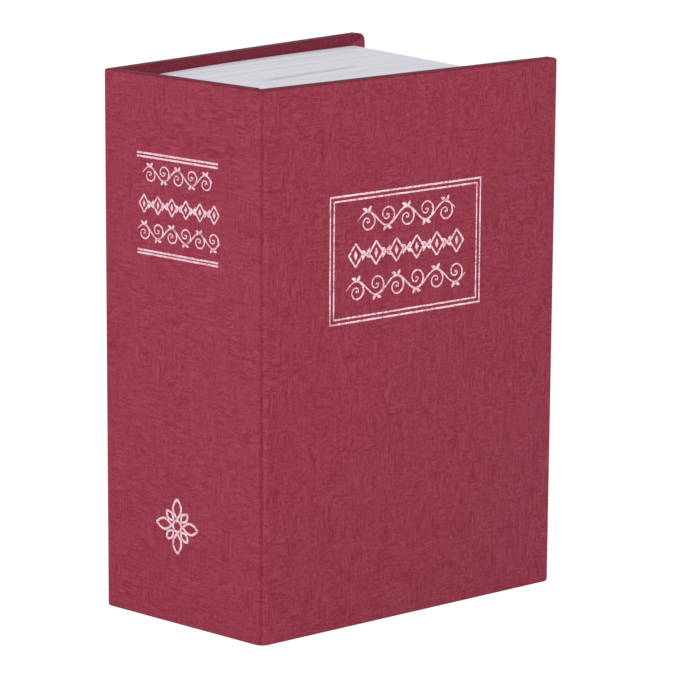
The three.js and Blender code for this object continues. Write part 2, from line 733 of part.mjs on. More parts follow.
// An angle on the tray's fore-edge wall: the cam turns in behind its inward leg.
function keeper(group) {
  const wall = trayRight - traySheet - glueLine;
  const span = [lockZ - keeperHeight / 2, lockZ + keeperHeight / 2];
  const flange = block([wall - keeperSheet, wall], [keeperBack - keeperLeg, keeperBack], span);
  const catchLeg = block([wall - keeperReach, wall], [keeperBack - keeperSheet, keeperBack], span);
  add(group, "keeper", flange.add(catchLeg), finishes.steel);
}

// The cover is modelled shut, then turned open about the crease.
const book = new THREE.Group();
const swing = new THREE.Group();
const cover = new THREE.Group();
swing.position.set(creaseX, creaseY, 0);
swing.rotation.z = -THREE.MathUtils.degToRad(coverAjar);
cover.position.set(-creaseX, -creaseY, 0);
swing.add(cover);
book.add(swing);
frontCover(cover);
for (const make of [spine, backCover, pageFrame, tray, traySeat, hinge, keeper]) make(book);
for (const make of [lid, lockBody, lockPlug]) make(book);

const part = new THREE.Group();
part.add(book);
part.updateMatrixWorld(true);
const bounds = new THREE.Box3().setFromObject(part, true);
const middle = bounds.getCenter(new THREE.Vector3());
book.position.set(-middle.x, -middle.y, -bounds.min.z);

export default part;
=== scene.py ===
# %% [markdown]
# A book safe: a small hardback with a steel cash box hidden in a moulded block of pages. Its front
# cover is pushed a few degrees open. The steelwork, boards and joints come from the CAD model as a
# fixed frame, and this lesson dresses them: the covering paper, the foil, the leaves of the page
# block and the finish of the metal inside.

# %% Load the fixed frame
import json
import math

import bmesh
import bpy
from mathutils import Matrix, Vector, noise

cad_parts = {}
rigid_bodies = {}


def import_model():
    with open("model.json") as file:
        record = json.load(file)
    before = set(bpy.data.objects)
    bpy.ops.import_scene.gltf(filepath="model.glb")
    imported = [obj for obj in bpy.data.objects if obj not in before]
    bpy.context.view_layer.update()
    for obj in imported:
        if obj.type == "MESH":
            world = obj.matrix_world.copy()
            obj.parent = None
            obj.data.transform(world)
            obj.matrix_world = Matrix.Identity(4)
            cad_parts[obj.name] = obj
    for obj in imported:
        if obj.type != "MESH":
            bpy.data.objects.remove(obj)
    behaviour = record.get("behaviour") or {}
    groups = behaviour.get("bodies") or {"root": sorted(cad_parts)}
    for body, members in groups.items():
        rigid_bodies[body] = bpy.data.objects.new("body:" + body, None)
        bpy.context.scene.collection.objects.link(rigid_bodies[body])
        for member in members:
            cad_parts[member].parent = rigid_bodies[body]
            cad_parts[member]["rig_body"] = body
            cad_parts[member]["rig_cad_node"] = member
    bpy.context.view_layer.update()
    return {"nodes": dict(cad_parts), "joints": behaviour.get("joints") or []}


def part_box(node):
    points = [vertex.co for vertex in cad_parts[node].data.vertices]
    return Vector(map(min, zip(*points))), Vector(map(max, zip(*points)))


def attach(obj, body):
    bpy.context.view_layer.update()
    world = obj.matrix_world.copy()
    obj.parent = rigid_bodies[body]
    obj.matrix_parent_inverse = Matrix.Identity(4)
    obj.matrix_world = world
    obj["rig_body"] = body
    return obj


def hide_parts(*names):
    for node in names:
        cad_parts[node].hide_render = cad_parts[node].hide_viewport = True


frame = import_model()
nodes = frame["nodes"]
joints = {joint["name"]: joint for joint in frame["joints"]}
print("CAD nodes:", len(nodes))

# %% [markdown]
# Every size below is in millimetres, in the book's own terms: x runs from the spine's outer face to
# the fore-edge, y from the shut front cover to the back cover, and z up from the lower edges. One
# function turns such a point into a place in the scene, which is in metres.

# %% The book's sizes and places
MM = 0.001
back_low, back_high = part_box("back_cover_paper")
WIDTH = (back_high.x - back_low.x) / MM
HEIGHT = (back_high.z - back_low.z) / MM
CREASE_X, CREASE_Y = 0.5858, 0.5858  # the front cover's hinge line, half-way round the paper's fold
hinge_line = Vector(joints["cover_hinge"]["pos_m"])
corner = Vector((hinge_line.x - CREASE_X * MM, hinge_line.y - CREASE_Y * MM, 0))
DEPTH = (back_high.y - corner.y) / MM
AJAR = -joints["cover_hinge"]["range_deg"][0]
BOARD = 2.97  # a board in its paper, measured from the CAD's outer face
INNER_BACK = DEPTH - BOARD
NEAR = 0.1  # a point this close to a face counts as on it


def at(x, y, z):
    """A point of the book, in millimetres, as a place in the scene."""
    return corner + Vector((x, y, z)) * MM


def book_mm(place):
    """The other way round: a place in the scene as millimetres of the book."""
    return (Vector(place) - corner) / MM


print("book %.1f x %.1f x %.1f mm, cover %.1f degrees ajar" % (WIDTH, DEPTH, HEIGHT, AJAR))

# %% [markdown]
# Modelling goes through Blender's own operators. An operator works on whatever is selected, so each
# helper clears the selection first. `Editing` opens edit mode on one piece and picks its vertices,
# edges or faces by a test on their place in millimetres.


# %% Helpers for modelling
def only(piece):
    """Makes this piece the one that is selected and active."""
    bpy.ops.object.select_all(action="DESELECT")
    piece.select_set(True)
    bpy.context.view_layer.objects.active = piece


def settle(piece, name):
    """Names a new piece and moves its place, turn and size into its mesh."""
    piece.name = piece.data.name = name
    only(piece)
    bpy.ops.object.transform_apply(location=True, rotation=True, scale=True)
    return piece


def slab(name, low, high):
    """A box between two corners."""
    bpy.ops.object.select_all(action="DESELECT")
    a, b = at(*low), at(*high)
    bpy.ops.mesh.primitive_cube_add(size=1, location=(a + b) / 2)
    bpy.context.object.scale = b - a
    return settle(bpy.context.object, name)


class Editing:
    """Edit mode on one piece: with Editing(piece) as edit: ..."""

    def __init__(self, piece):
        self.piece = piece

    def __enter__(self):
        only(self.piece)
        bpy.ops.object.mode_set(mode="EDIT")
        return self

    def __exit__(self, *_):
        bpy.ops.object.mode_set(mode="OBJECT")

    def pick(self, kind, test):
        """Selects the vertices, edges or faces that pass a test."""
        bpy.ops.mesh.select_mode(type=kind)
        bpy.ops.mesh.select_all(action="DESELECT")
        mesh = bmesh.from_edit_mesh(self.piece.data)
        parts = {"VERT": mesh.verts, "EDGE": mesh.edges, "FACE": mesh.faces}[kind]
        for part in [part for part in parts if test(part)]:
            part.select_set(True)
        mesh.select_flush_mode()
        bmesh.update_edit_mesh(self.piece.data)

    def edges(self, test, along=None):
        """Edges whose two ends pass the test, and that run along one axis if it is given."""

        def passes(edge):
            a, b = (book_mm(vertex.co) for vertex in edge.verts)
            span = b - a
            straight = along is None or abs(span["xyz".index(along)]) > 0.99 * span.length
            return straight and test(a) and test(b)

        self.pick("EDGE", passes)

    def outer_edges(self, spare):
        """Edges that stand out sharply, save those with both ends in a spared place."""

        def passes(edge):
            spared = all(spare(book_mm(vertex.co)) for vertex in edge.verts)
            return edge.calc_face_angle_signed() > 1 and not spared

        self.pick("EDGE", passes)

    def long_edges(self, axis, length):
        """Edges that reach further than a length along one axis."""
        index = "xyz".index(axis)

        def passes(edge):
            a, b = (vertex.co[index] for vertex in edge.verts)
            return abs(a - b) > length * MM

        self.pick("EDGE", passes)

    def faces(self, test, facing=None):
        """Faces whose middle passes the test, and that face one way if it is given."""

        def passes(face):
            way = facing is None or face.normal.dot(Vector(facing)) > 0.9
            return way and test(book_mm(face.calc_center_median()))

        self.pick("FACE", passes)

    def bevel(self, width, segments):
        """Rounds the selected edges."""
        bpy.ops.mesh.bevel(offset=width * MM, segments=segments, affect="EDGES")

    def pull(self, x=0, y=0, z=0):
        """Extrudes the selected faces and moves them."""
        shift = Vector((x, y, z)) * MM
        bpy.ops.mesh.extrude_region_move(TRANSFORM_OT_translate={"value": shift})

    def cut(self, axis, value):
        """Cuts the selected faces by a plane across one axis."""
        normal = Vector([1 if name == axis else 0 for name in "xyz"])
        bpy.ops.mesh.bisect(plane_co=corner + normal * value * MM, plane_no=normal)

    def swell(self, about, x=1, y=1, z=1):
        """Scales the selection about a point."""
        bpy.ops.transform.resize(value=(x, y, z), center_override=at(*about))


def smooth(piece, angle=35):
    """Smooth shading, with edges sharper than the angle kept crisp."""
    only(piece)
    bpy.ops.object.shade_smooth_by_angle(angle=math.radians(angle))
    return piece


def modified(piece, kind, **settings):
    """Adds a modifier, sets it and applies it."""
    only(piece)
    modifier = piece.modifiers.new(kind.title(), kind)
    for key, value in settings.items():
        setattr(modifier, key, value)
    bpy.ops.object.modifier_apply(modifier=modifier.name)
    return piece


# %% [markdown]
# Materials are written as expressions. `Value` wraps one socket and turns arithmetic into Math
# nodes, and `Finish` builds one material round a Principled shader. Patterns read Object
# coordinates, so they stay at real size, and each piece's mesh is already in its place.


# %% Helpers for materials
class Value:
    """One value in a material. Arithmetic on it adds a Math node."""

    def __init__(self, finish, socket):
        self.finish, self.socket = finish, socket

    def __add__(self, other):
        return self.finish.maths("ADD", self, other)

    def __radd__(self, other):
        return self.finish.maths("ADD", other, self)

    def __sub__(self, other):
        return self.finish.maths("SUBTRACT", self, other)

    def __rsub__(self, other):
        return self.finish.maths("SUBTRACT", other, self)

    def __mul__(self, other):
        return self.finish.maths("MULTIPLY", self, other)

    def __truediv__(self, other):
        return self.finish.maths("DIVIDE", self, other)

    def __pow__(self, other):
        return self.finish.maths("POWER", self, other)


class Finish:
    """A material that grows node by node."""

    def __init__(self, name):
        self.material = bpy.data.materials.new(name)
        self.material.use_nodes = True
        self.tree = self.material.node_tree
        self.tree.nodes.clear()
        self.place = self.node("ShaderNodeTexCoord", output="Object")

    def node(self, kind, settings=None, inputs=None, output=0):
        """Any node: its settings first, then its inputs, as numbers or as other values."""
        made = self.tree.nodes.new(kind)
        for key, value in (settings or {}).items():
            if key == "stops":
                self.fill(made.color_ramp, value)
            else:
                setattr(made, key, value)
        for key, value in (inputs or {}).items():
            if isinstance(value, Value):
                self.tree.links.new(value.socket, made.inputs[key])
            else:
                made.inputs[key].default_value = value
        return Value(self, made.outputs[output])

    @staticmethod
    def fill(ramp, stops):
        """A ramp of greys, each at its place between 0 and 1."""
        for element, (position, level) in zip(ramp.elements, stops):
            element.position, element.color = position, (level, level, level, 1)
        for position, level in stops[2:]:
            ramp.elements.new(position).color = (level, level, level, 1)

    def maths(self, operation, a, b=0.0):
        """One Math node."""
        return self.node("ShaderNodeMath", {"operation": operation}, {0: a, 1: b})

    def ramp(self, value, *stops):
        """A value sent through stops, each a position from 0 to 1 and its level there."""
        return self.node("ShaderNodeValToRGB", {"stops": stops}, {"Fac": value})

    def stretched(self, x=1, y=1, z=1, about=(0, 0, 0)):
        """Object coordinates, centred on a place and scaled along each axis."""
        scale = Vector((x, y, z))
        shift = -Vector(about) * scale
        inputs = {"Vector": self.place, "Location": shift, "Scale": scale}
        return self.node("ShaderNodeMapping", inputs=inputs)

    def noise(self, size, where=None, detail=2.0, roughness=0.5, distortion=0.0):
        """Noise from 0 to 1, with features of about this size in millimetres."""
        inputs = {"Vector": where or self.place, "Scale": 1 / (size * MM), "Detail": detail}
        inputs |= {"Roughness": roughness, "Distortion": distortion}
        return self.node("ShaderNodeTexNoise", inputs=inputs)

    def mix(self, share, a, b):
        """From colour a, where the share is 0, to colour b, where it is 1."""
        return self.node("ShaderNodeMix", {"data_type": "RGBA"}, {0: share, 6: a, 7: b}, output=2)

    def axes(self, where=None):
        """The three coordinates of a place as separate values, in metres."""
        made = self.node("ShaderNodeSeparateXYZ", inputs={"Vector": where or self.place})
        return [Value(self, made.socket.node.outputs[name]) for name in "XYZ"]

    def distance_from_line(self, about, axes):
        """Millimetres from a straight line through a place, along the axis that isn't named."""
        values = dict(zip("xyz", self.axes(self.stretched(about=about))))
        a, b = (values[name] / MM for name in axes)
        return (a * a + b * b) ** 0.5

    def bump(self, height, depth):
        """Relief of this depth in millimetres, from a height between 0 and 1."""
        inputs = {"Height": height, "Distance": depth * MM, "Strength": 1.0}
        return self.node("ShaderNodeBump", inputs=inputs)

    def done(self, **inputs):
        """Closes the material with a Principled shader. An underscore in a name is a space."""
        named = {key.replace("_", " "): value for key, value in inputs.items()}
        shader = self.node("ShaderNodeBsdfPrincipled", inputs=named)
        output = self.tree.nodes.new("ShaderNodeOutputMaterial")
        self.tree.links.new(shader.socket, output.inputs["Surface"])
        return self.material


def colour(red, green, blue):
    """A colour as it looks on a screen, from 0 to 255, as Blender's linear values."""

    def linear(level):
        level /= 255
        return level / 12.92 if level <= 0.04045 else ((level + 0.055) / 1.055) ** 2.4

    return (linear(red), linear(green), linear(blue), 1.0)


def dress(piece, material):
    """Gives a piece this one material."""
    piece.data.materials.clear()
    piece.data.materials.append(material)
    return piece


# %% [markdown]
# The camera comes first. Fitting the book's corners to the photograph gave a long lens, three
# quarters of a metre away, looking down by twelve degrees at the corner between spine and front
# cover.

# %% Camera
LENS, SENSOR = 196.65, 36.0
CAMERA_AT = (-537.07, -493.94, 225.76)  # from the book's corner, in millimetres
AZIMUTH, ELEVATION, ROLL = -48.62, 12.457, 0.373  # where it looks, in degrees

bpy.ops.object.camera_add(location=at(*CAMERA_AT))
camera = bpy.context.object
turn = Matrix.Rotation(math.radians(AZIMUTH), 4, "Z")
tilt = Matrix.Rotation(math.radians(90 - ELEVATION), 4, "X")
roll = Matrix.Rotation(math.radians(ROLL), 4, "Z")
camera.rotation_euler = (turn @ tilt @ roll).to_euler()
camera.data.lens, camera.data.sensor_width = LENS, SENSOR
camera.data.clip_start, camera.data.clip_end = 0.01, 20
bpy.context.scene.camera = camera

# %% [markdown]
# The covering paper is dull red and embossed like crinkled leather: patches of short upright ribs
# and patches of small level wrinkles, over a fine grain. Two stretched noises make the two kinds of
# wrinkle, and a slow third one shares the surface out between them, with more of the level ones on
# the spine. Thin folds run along the contours of two more noises. The red is painted darker in the
# emboss's valleys and folds and lighter on its heights, a painted shade and highlight of the
# relief, with streaks of its own tone. Painted shade is darkest in the crease of the hinge. It also
# darkens the upper and lower rims, which face up and down, and the face inside the back cover,
# beside the page block.


# %% Covering paper
def thin_folds(finish, size, where):
    """Thin lines that wander along the contours of a stretched noise: 1 on a line, 0 elsewhere."""
    contour = finish.noise(size, where, detail=2, distortion=0.4) - 0.5
    return finish.ramp(finish.maths("ABSOLUTE", contour), (0.0, 1), (0.03, 0))


def paper_height(finish):
    """The emboss as a height from 0 to 1."""
    ribs = finish.noise(0.48, finish.stretched(z=0.16), detail=1, distortion=0.3)
    wrinkles = finish.noise(0.46, finish.stretched(x=0.18, y=0.18), detail=1, distortion=0.5)
    spine_face = finish.ramp((finish.axes()[0] - corner.x) / MM, (0.1, 1), (0.6, 0))
    patch_noise = finish.noise(6, detail=2, distortion=0.8) - spine_face * 0.06
    patch = finish.ramp(patch_noise, (0.42, 0), (0.58, 1))
    upright = thin_folds(finish, 1.8, finish.stretched(z=0.25))
    level = thin_folds(finish, 1.6, finish.stretched(x=0.3, y=0.3))
    calm = finish.ramp(finish.noise(5, detail=1), (0.38, 0.45), (0.6, 1))
    grain = finish.noise(0.44, detail=1.5)
    emboss = (ribs * patch + wrinkles * (1 - patch) - 0.5) * calm
    folds = (upright * patch + level * (1 - patch)) * calm
    return emboss * 0.58 + grain * 0.46 + 0.265 - folds * 0.09


def covering_paper():
    """The paper's red, with the painted shade and highlight described above."""
    finish = Finish("covering_paper_red")
    height = paper_height(finish)
    # painted shade along the crease of the hinge, broken by noise
    crease_shade_line = hinge_line + Vector((-0.3, 0.15, 0)) * MM
    crease = finish.ramp(finish.distance_from_line(crease_shade_line, "xy"), (0.15, 1), (0.7, 0))
    broken = finish.ramp(finish.noise(1.4, finish.stretched(z=0.6)), (0.35, 0.4), (0.65, 1))
    streaks = finish.noise(1.3, finish.stretched(z=0.2), detail=2)
    # painted shade and highlight of the relief: darker in the emboss's valleys and folds, lighter
    # on its heights
    relief_shade_share = finish.ramp(height * 0.9 + streaks * 0.1, (0.39, 0), (0.61, 1))
    tone = finish.mix(relief_shade_share, colour(129, 38, 55), colour(152, 65, 82))
    cloudy = finish.mix(finish.noise(18, detail=3) * 0.3, tone, colour(139, 50, 68))
    shade = finish.mix(crease * broken * 0.45, cloudy, colour(84, 12, 30))
    up = finish.axes()[2] / MM  # below, lengths are divided to lie between 0 and 1, as a ramp needs
    # painted shade on the upper and lower rims, which face up and down
    rim_shade = finish.ramp(finish.maths("MINIMUM", up, HEIGHT - up) / 2, (0.04, 1), (0.14, 0))
    rim_shaded = finish.mix(rim_shade * 0.6, shade, colour(92, 24, 46))
    # painted shade on the face inside the back cover, beside the page block
    across, deep, _ = finish.axes(finish.stretched(about=corner))
    off_inner_face = finish.maths("ABSOLUTE", deep / MM - INNER_BACK - 0.1)
    inner_face_shade = finish.ramp(off_inner_face, (0.14, 1), (0.28, 0))
    inside = inner_face_shade * finish.ramp(across / MM / 4, (0.4, 0), (0.6, 1))
    return finish.done(
        Base_Color=finish.mix(inside * 0.45, rim_shaded, colour(86, 18, 36)),
        Roughness=0.56 + height * 0.16,
        Specular_IOR_Level=0.08,
        Normal=finish.bump(height, 0.25),
    )


paper = covering_paper()

# %% [markdown]
# The case of a hardback is one sheet of paper glued over three boards. Here the spine and the back
# cover are one piece: a slab for the back cover, from which the spine is extruded. The boards'
# edges show through the paper as soft roundings. The paper alone runs on past the spine board and
# is spun round the front corner, as far as the crease. A fine bead of paper lies in the crease
# itself, so no light shows through the fold at any angle of the cover.

# %% Spine and back cover
SKIN = 0.02  # the paper lies this far inside the CAD faces, which leaves the foil flush with them
SOFT = 0.45  # rounding of the paper over a board's edge
PAPER = 0.4  # a flap of folded paper
OVERLAP = math.radians(2.5)  # the spine's paper runs on under the cover's, so no light shows
FOLD_RADIUS = 2.0
FOLD_TURN = math.acos(1 - CREASE_X / FOLD_RADIUS)  # from either face to the crease
FOLD_BEAD = 0.07  # radius of the fine bead on the hinge line, which stays put as the cover turns
BEAD_END = 0.15  # from the bead's ends to the paper's rims
FOLD_STEPS = 8
CORNER = 1.8  # rounding of the upper fore-edge corner
LOWER_CORNER = 0.7  # and of the sharper corners, on which the book stands
SPINE_ROUND = 1.2  # the outer corner where spine and back cover meet
WRAP = 0.3  # from the paper's outer face to the board in it
SPINE_FRONT = 3.5  # where the spine board ends, behind the front cover
FLAP_ROOT = 0.75  # the folded-over paper is thicker here, next to the end of the front board


def at_upper_corner(p):
    """Whether a point lies at a cover's upper fore-edge corner."""
    return p.x > WIDTH - 1 and p.z > HEIGHT - 1


def at_rear_corner(p):
    """Whether a point lies at the outer corner, where spine and back cover meet."""
    return p.x < 1 and p.y > DEPTH - 1


case = slab("case_covering_paper", (SKIN, INNER_BACK, 0), (WIDTH, DEPTH - SKIN, HEIGHT))
with Editing(case) as edit:
    edit.edges(at_upper_corner, along="y")
    edit.bevel(CORNER, 6)
    edit.edges(lambda p: p.x > WIDTH - 1 and p.z < 1, along="y")
    edit.bevel(LOWER_CORNER, 4)
    edit.faces(lambda p: True)
    edit.cut("x", BOARD)
    edit.faces(lambda p: p.x < BOARD and p.y < DEPTH - 1, facing=(0, -1, 0))
    edit.pull(y=SPINE_FRONT - INNER_BACK)
    edit.edges(at_rear_corner, along="z")
    edit.bevel(SPINE_ROUND, 6)
    edit.outer_edges(spare=lambda p: p.y < SPINE_FRONT + NEAR)
    edit.bevel(SOFT, 3)
    edit.faces(lambda p: p.y < SPINE_FRONT + NEAR, facing=(0, -1, 0))
    edit.cut("x", FLAP_ROOT)
    edit.faces(lambda p: p.y < SPINE_FRONT + NEAR and p.x < FLAP_ROOT, facing=(0, -1, 0))
    edit.pull(y=FOLD_RADIUS - SPINE_FRONT)
    edit.faces(lambda p: p.y < FOLD_RADIUS + NEAR, facing=(0, -1, 0))
    edit.cut("x", PAPER)
    edit.faces(lambda p: p.y < FOLD_RADIUS + NEAR and p.x < PAPER, facing=(0, -1, 0))
    fold = {"center": at(FOLD_RADIUS, FOLD_RADIUS, 0), "axis": (0, 0, 1)}
    bpy.ops.mesh.spin(steps=FOLD_STEPS, angle=-FOLD_TURN - OVERLAP, **fold)

# %% The bead in the crease, joined to the case
bpy.ops.object.select_all(action="DESELECT")
size = {"radius": FOLD_BEAD * MM, "depth": (HEIGHT - 2 * BEAD_END) * MM}
in_crease = at(CREASE_X, CREASE_Y, HEIGHT / 2)
bpy.ops.mesh.primitive_cylinder_add(vertices=12, location=in_crease, **size)
settle(bpy.context.object, "fold_bead").select_set(True)
case.select_set(True)
bpy.context.view_layer.objects.active = case
bpy.ops.object.join()
smooth(dress(case, paper))
print("case:", len(case.data.vertices), "vertices")

# %% The board inside the back cover, rounded where its paper is
board_low, board_high = (book_mm(place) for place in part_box("back_board"))
cased_board = slab("cased_back_board", board_low, board_high)
with Editing(cased_board) as edit:
    edit.edges(at_upper_corner, along="y")
    edit.bevel(CORNER - WRAP, 6)
    edit.edges(at_rear_corner, along="z")
    edit.bevel(SPINE_ROUND - WRAP, 6)
print("cased board:", len(cased_board.data.vertices), "vertices")

# %% [markdown]
# The front cover is modelled shut, like a door in its frame, and then swung open about the crease
# by the angle of the photograph. Its paper reaches past the board and is spun the other way, so it
# meets the spine's paper in the crease, and the two stay joined at every angle of the hinge.

# %% Front cover
BOARD_END = 0.85  # where the front board ends, next to the spine
HEEL_ROUND = 1.0  # rounding of that end's outer corner, beside the fold


def swung_open(piece):
    """Turns a piece that was modelled on the shut cover to its place at rest."""
    about = Matrix.Translation(hinge_line)
    turned = Matrix.Rotation(-math.radians(AJAR), 4, "Z")
    piece.matrix_world = about @ turned @ about.inverted()
    return settle(piece, piece.name)


def at_hinge(p):
    """Whether a point lies on the cover's end, from which its flap of paper starts."""
    return abs(p.x - FOLD_RADIUS) < NEAR


front = slab("front_covering_paper", (FOLD_RADIUS, SKIN, 0), (WIDTH, BOARD, HEIGHT))
with Editing(front) as edit:
    edit.edges(lambda p: p.x > WIDTH - 1, along="y")
    edit.bevel(LOWER_CORNER, 4)
    edit.outer_edges(spare=at_hinge)
    edit.bevel(SOFT, 3)
    edit.faces(at_hinge, facing=(-1, 0, 0))
    edit.cut("y", PAPER)
    edit.faces(lambda p: at_hinge(p) and p.y > PAPER, facing=(-1, 0, 0))
    edit.pull(x=BOARD_END - FOLD_RADIUS)
    edit.edges(lambda p: p.x < BOARD_END + NEAR and p.y < PAPER + NEAR, along="z")
    edit.bevel(HEEL_ROUND, 4)
    edit.faces(lambda p: at_hinge(p) and p.y < PAPER, facing=(-1, 0, 0))
    bpy.ops.mesh.spin(steps=FOLD_STEPS, angle=FOLD_TURN, **fold)
smooth(dress(swung_open(front), paper))
print("front cover:", len(front.data.vertices), "vertices")

# %% [markdown]
# Inside both covers the paper is turned in round the boards. The fore-edge strip goes on last, with
# slanting ends, so a thin trapezoid shows the seam that starts in each corner.

# %% Turned-in paper at the fore-edges
TURN_IN = 12  # from the cover's fore-edge to the strip's inner edge
STRIP = 0.22  # its thickness
EDGE = 0.5  # from the cover's edges to the strip's
SEAM_DROP = 4  # how far the seam falls away from the upper edge across the strip


def turned_in(name, y):
    """The fore-edge strip on an inner face, with slanting ends."""
    strip = slab(name, (WIDTH - TURN_IN, min(y), EDGE), (WIDTH - EDGE, max(y), HEIGHT - EDGE))
    with Editing(strip) as edit:
        edit.edges(lambda p: p.x < WIDTH - TURN_IN + NEAR, along="z")
        edit.swell((0, 0, HEIGHT / 2), z=1 - 2 * SEAM_DROP / (HEIGHT - 2 * EDGE))
        edit.edges(at_upper_corner, along="y")
        edit.bevel(CORNER, 6)
    return dress(strip, paper)


back_turn_in = turned_in("back_turned_in_paper", (INNER_BACK - STRIP, INNER_BACK))
front_turn_in = swung_open(turned_in("front_turned_in_paper", (BOARD, BOARD + STRIP)))

# %% [markdown]
# The page block looks like trimmed paper but is one hollow moulding. A box gets the moulding's
# draft by shrinking its front face, then its three open sides are cut into fine strips. Code moves
# their vertices in to make the leaves: a gap that opens and closes again wherever the leaves part,
# and a fine ripple for single leaves. How deep a gap is goes into an attribute too, by which the
# finish shades it. Solidify then gives the shell its wall.


# %% Page finish
def page_plastic():
    """White, with hair-fine leaves, faint bands of them, and a shade in the gaps."""
    finish = Finish("page_block_white")
    leaves = finish.noise(0.42, finish.stretched(x=0.012, z=0.012), detail=3, roughness=0.65)
    bands = finish.noise(2.6, finish.stretched(x=0.02, z=0.02), detail=2)
    flecks = finish.noise(1.2, finish.stretched(x=0.25, z=0.25), detail=2)
    height = leaves * 0.7 + bands * 0.3
    pale = finish.mix(height, colour(222, 219, 229), colour(249, 246, 254))
    mottled = finish.mix(flecks * 0.3, pale, colour(239, 236, 243))
    gap = finish.node("ShaderNodeAttribute", {"attribute_name": "leaf_gap"}, output=2)
    shade = finish.mix(gap, mottled, colour(176, 173, 182))
    return finish.done(
        Base_Color=shade,
        Roughness=0.42 + bands * 0.2,
        Specular_IOR_Level=0.4,
        Normal=finish.bump(height, 0.05),
    )


# %% Page block
BLOCK_LEFT, BLOCK_RIGHT = 3.05, WIDTH - 4.4
BLOCK_LOW, BLOCK_HIGH = 2.0, HEIGHT - 2.0
BLOCK_FRONT, BLOCK_BACK = 3.4, 41.75
DRAFT_ANGLE = 1.87
DRAFT = math.tan(math.radians(DRAFT_ANGLE)) * (BLOCK_BACK - BLOCK_FRONT)
RIM = 9.7  # from the book's outline to the opening for the tray
MOUTH_LOW, MOUTH_HIGH = (RIM, RIM), (WIDTH - RIM, HEIGHT - RIM)
SLEEVE = 4.0  # how far a lip follows the tray behind the front face
MOULDING_WALL = 1.7
REAR_ROUND, FORE_ROUND = 1.4, 1.2  # the upright rear edge, and the edges along the fore-edge
LEAF_GAPS = (  # place in y, slant, depth, and the middle and reach of the open stretch
    (6.8, 0.02, 0.1, 30, 22),
    (10.2, -0.03, 0.14, 52, 20),
    (14.7, -0.09, 0.14, 53, 22),
    (17.4, -0.065, 0.17, 47, 27),
    (20.6, 0, 0.1, 66, 9),
    (22.2, 0, 0.75, 39.2, 14.2),  # this one and the next make one wide gap
    (23.2, 0, 0.6, 39.8, 14),
    (26.0, -0.05, 0.08, 46, 28),
    (30.4, -0.035, 0.2, 45, 30),
    (34.1, -0.02, 0.08, 45, 26),
    (37.2, -0.03, 0.3, 42, 32),
)
LEAF_RIPPLE = 0.05  # how deep single leaves ripple, and how fast along and across them
RIPPLE_ALONG, RIPPLE_ACROSS = 0.025, 1.9
GAP_WIDTH = 0.6
FULL_SHADE = 0.8  # the depth at which a gap has its full shade
FORE_LIMIT = 0.4  # gaps in the fore-edge are no deeper, nor darker, than this
CROWN = 0.45 * WIDTH  # where the upper side is highest
SPINE_SAG, FORE_SAG = 0.45, 0.3  # and how far it sinks towards its two ends
LEVEL_BAND, UPRIGHT_BAND = 6, 8  # a side's vertices lie within this distance of the book's outline


def gap_depth(along, y):
    """How deep the gaps between the leaves are at a place on one of the block's sides."""
    depth = 0
    for place, slant, deep, centre, reach in LEAF_GAPS:
        line = place + slant * (along - centre)
        open_here = math.exp(-(((along - centre) / reach) ** 8))
        depth += deep * open_here * math.exp(-(((y - line) / GAP_WIDTH) ** 2))
    return depth


def leaf_depth(along, y, seed):
    """How far the moulded leaves lie behind the block's outline, in millimetres."""
    ripple = 1 + noise.noise(Vector((along * RIPPLE_ALONG, y * RIPPLE_ACROSS, seed)))
    return LEAF_RIPPLE * ripple + gap_depth(along, y)


def arch(x):
    """The upper side sinks a little towards the spine and the fore-edge."""
    share = (x - CROWN) / CROWN
    return (SPINE_SAG if share < 0 else FORE_SAG) * share**2


def in_mouth(p, slack=0.0):
    """Whether a point lies in the opening for the tray, seen from the front."""
    inside_x = MOUTH_LOW[0] - slack < p.x < MOUTH_HIGH[0] + slack
    return inside_x and MOUTH_LOW[1] - slack < p.z < MOUTH_HIGH[1] + slack


block_low = (BLOCK_LEFT, BLOCK_FRONT, BLOCK_LOW)
block = slab("page_block", block_low, (BLOCK_RIGHT, BLOCK_BACK, BLOCK_HIGH))
with Editing(block) as edit:
    edit.edges(lambda p: p.x > BLOCK_RIGHT - NEAR and p.y > BLOCK_BACK - NEAR, along="z")
    edit.bevel(REAR_ROUND, 4)
    edit.faces(lambda p: True, facing=(0, 1, 0))
    bpy.ops.mesh.delete(type="FACE")
    edit.faces(lambda p: True, facing=(0, -1, 0))
    tall, wide = BLOCK_HIGH - BLOCK_LOW, BLOCK_RIGHT - BLOCK_LEFT
    middle = (BLOCK_LEFT, BLOCK_FRONT, HEIGHT / 2)
    edit.swell(middle, x=1 - DRAFT / wide, z=1 - 2 * DRAFT / tall)
    edit.edges(lambda p: p.x > WIDTH / 2, along="y")
    edit.bevel(FORE_ROUND, 4)
    # Most cuts go through the thickness, where the leaves lie one behind the other
    for axis, length, cuts in (("y", 30, 95), ("x", 50, 23), ("z", 50, 35)):
        edit.long_edges(axis, length)
        bpy.ops.mesh.subdivide(number_cuts=cuts)
    for axis, places in zip("xz", zip(MOUTH_LOW, MOUTH_HIGH)):
        for place in places:
            edit.faces(lambda p: p.y < BLOCK_FRONT + NEAR, facing=(0, -1, 0))
            edit.cut(axis, place)
    edit.faces(lambda p: p.y < BLOCK_FRONT + NEAR and in_mouth(p), facing=(0, -1, 0))
    edit.pull(y=SLEEVE)
    bpy.ops.mesh.delete(type="FACE")

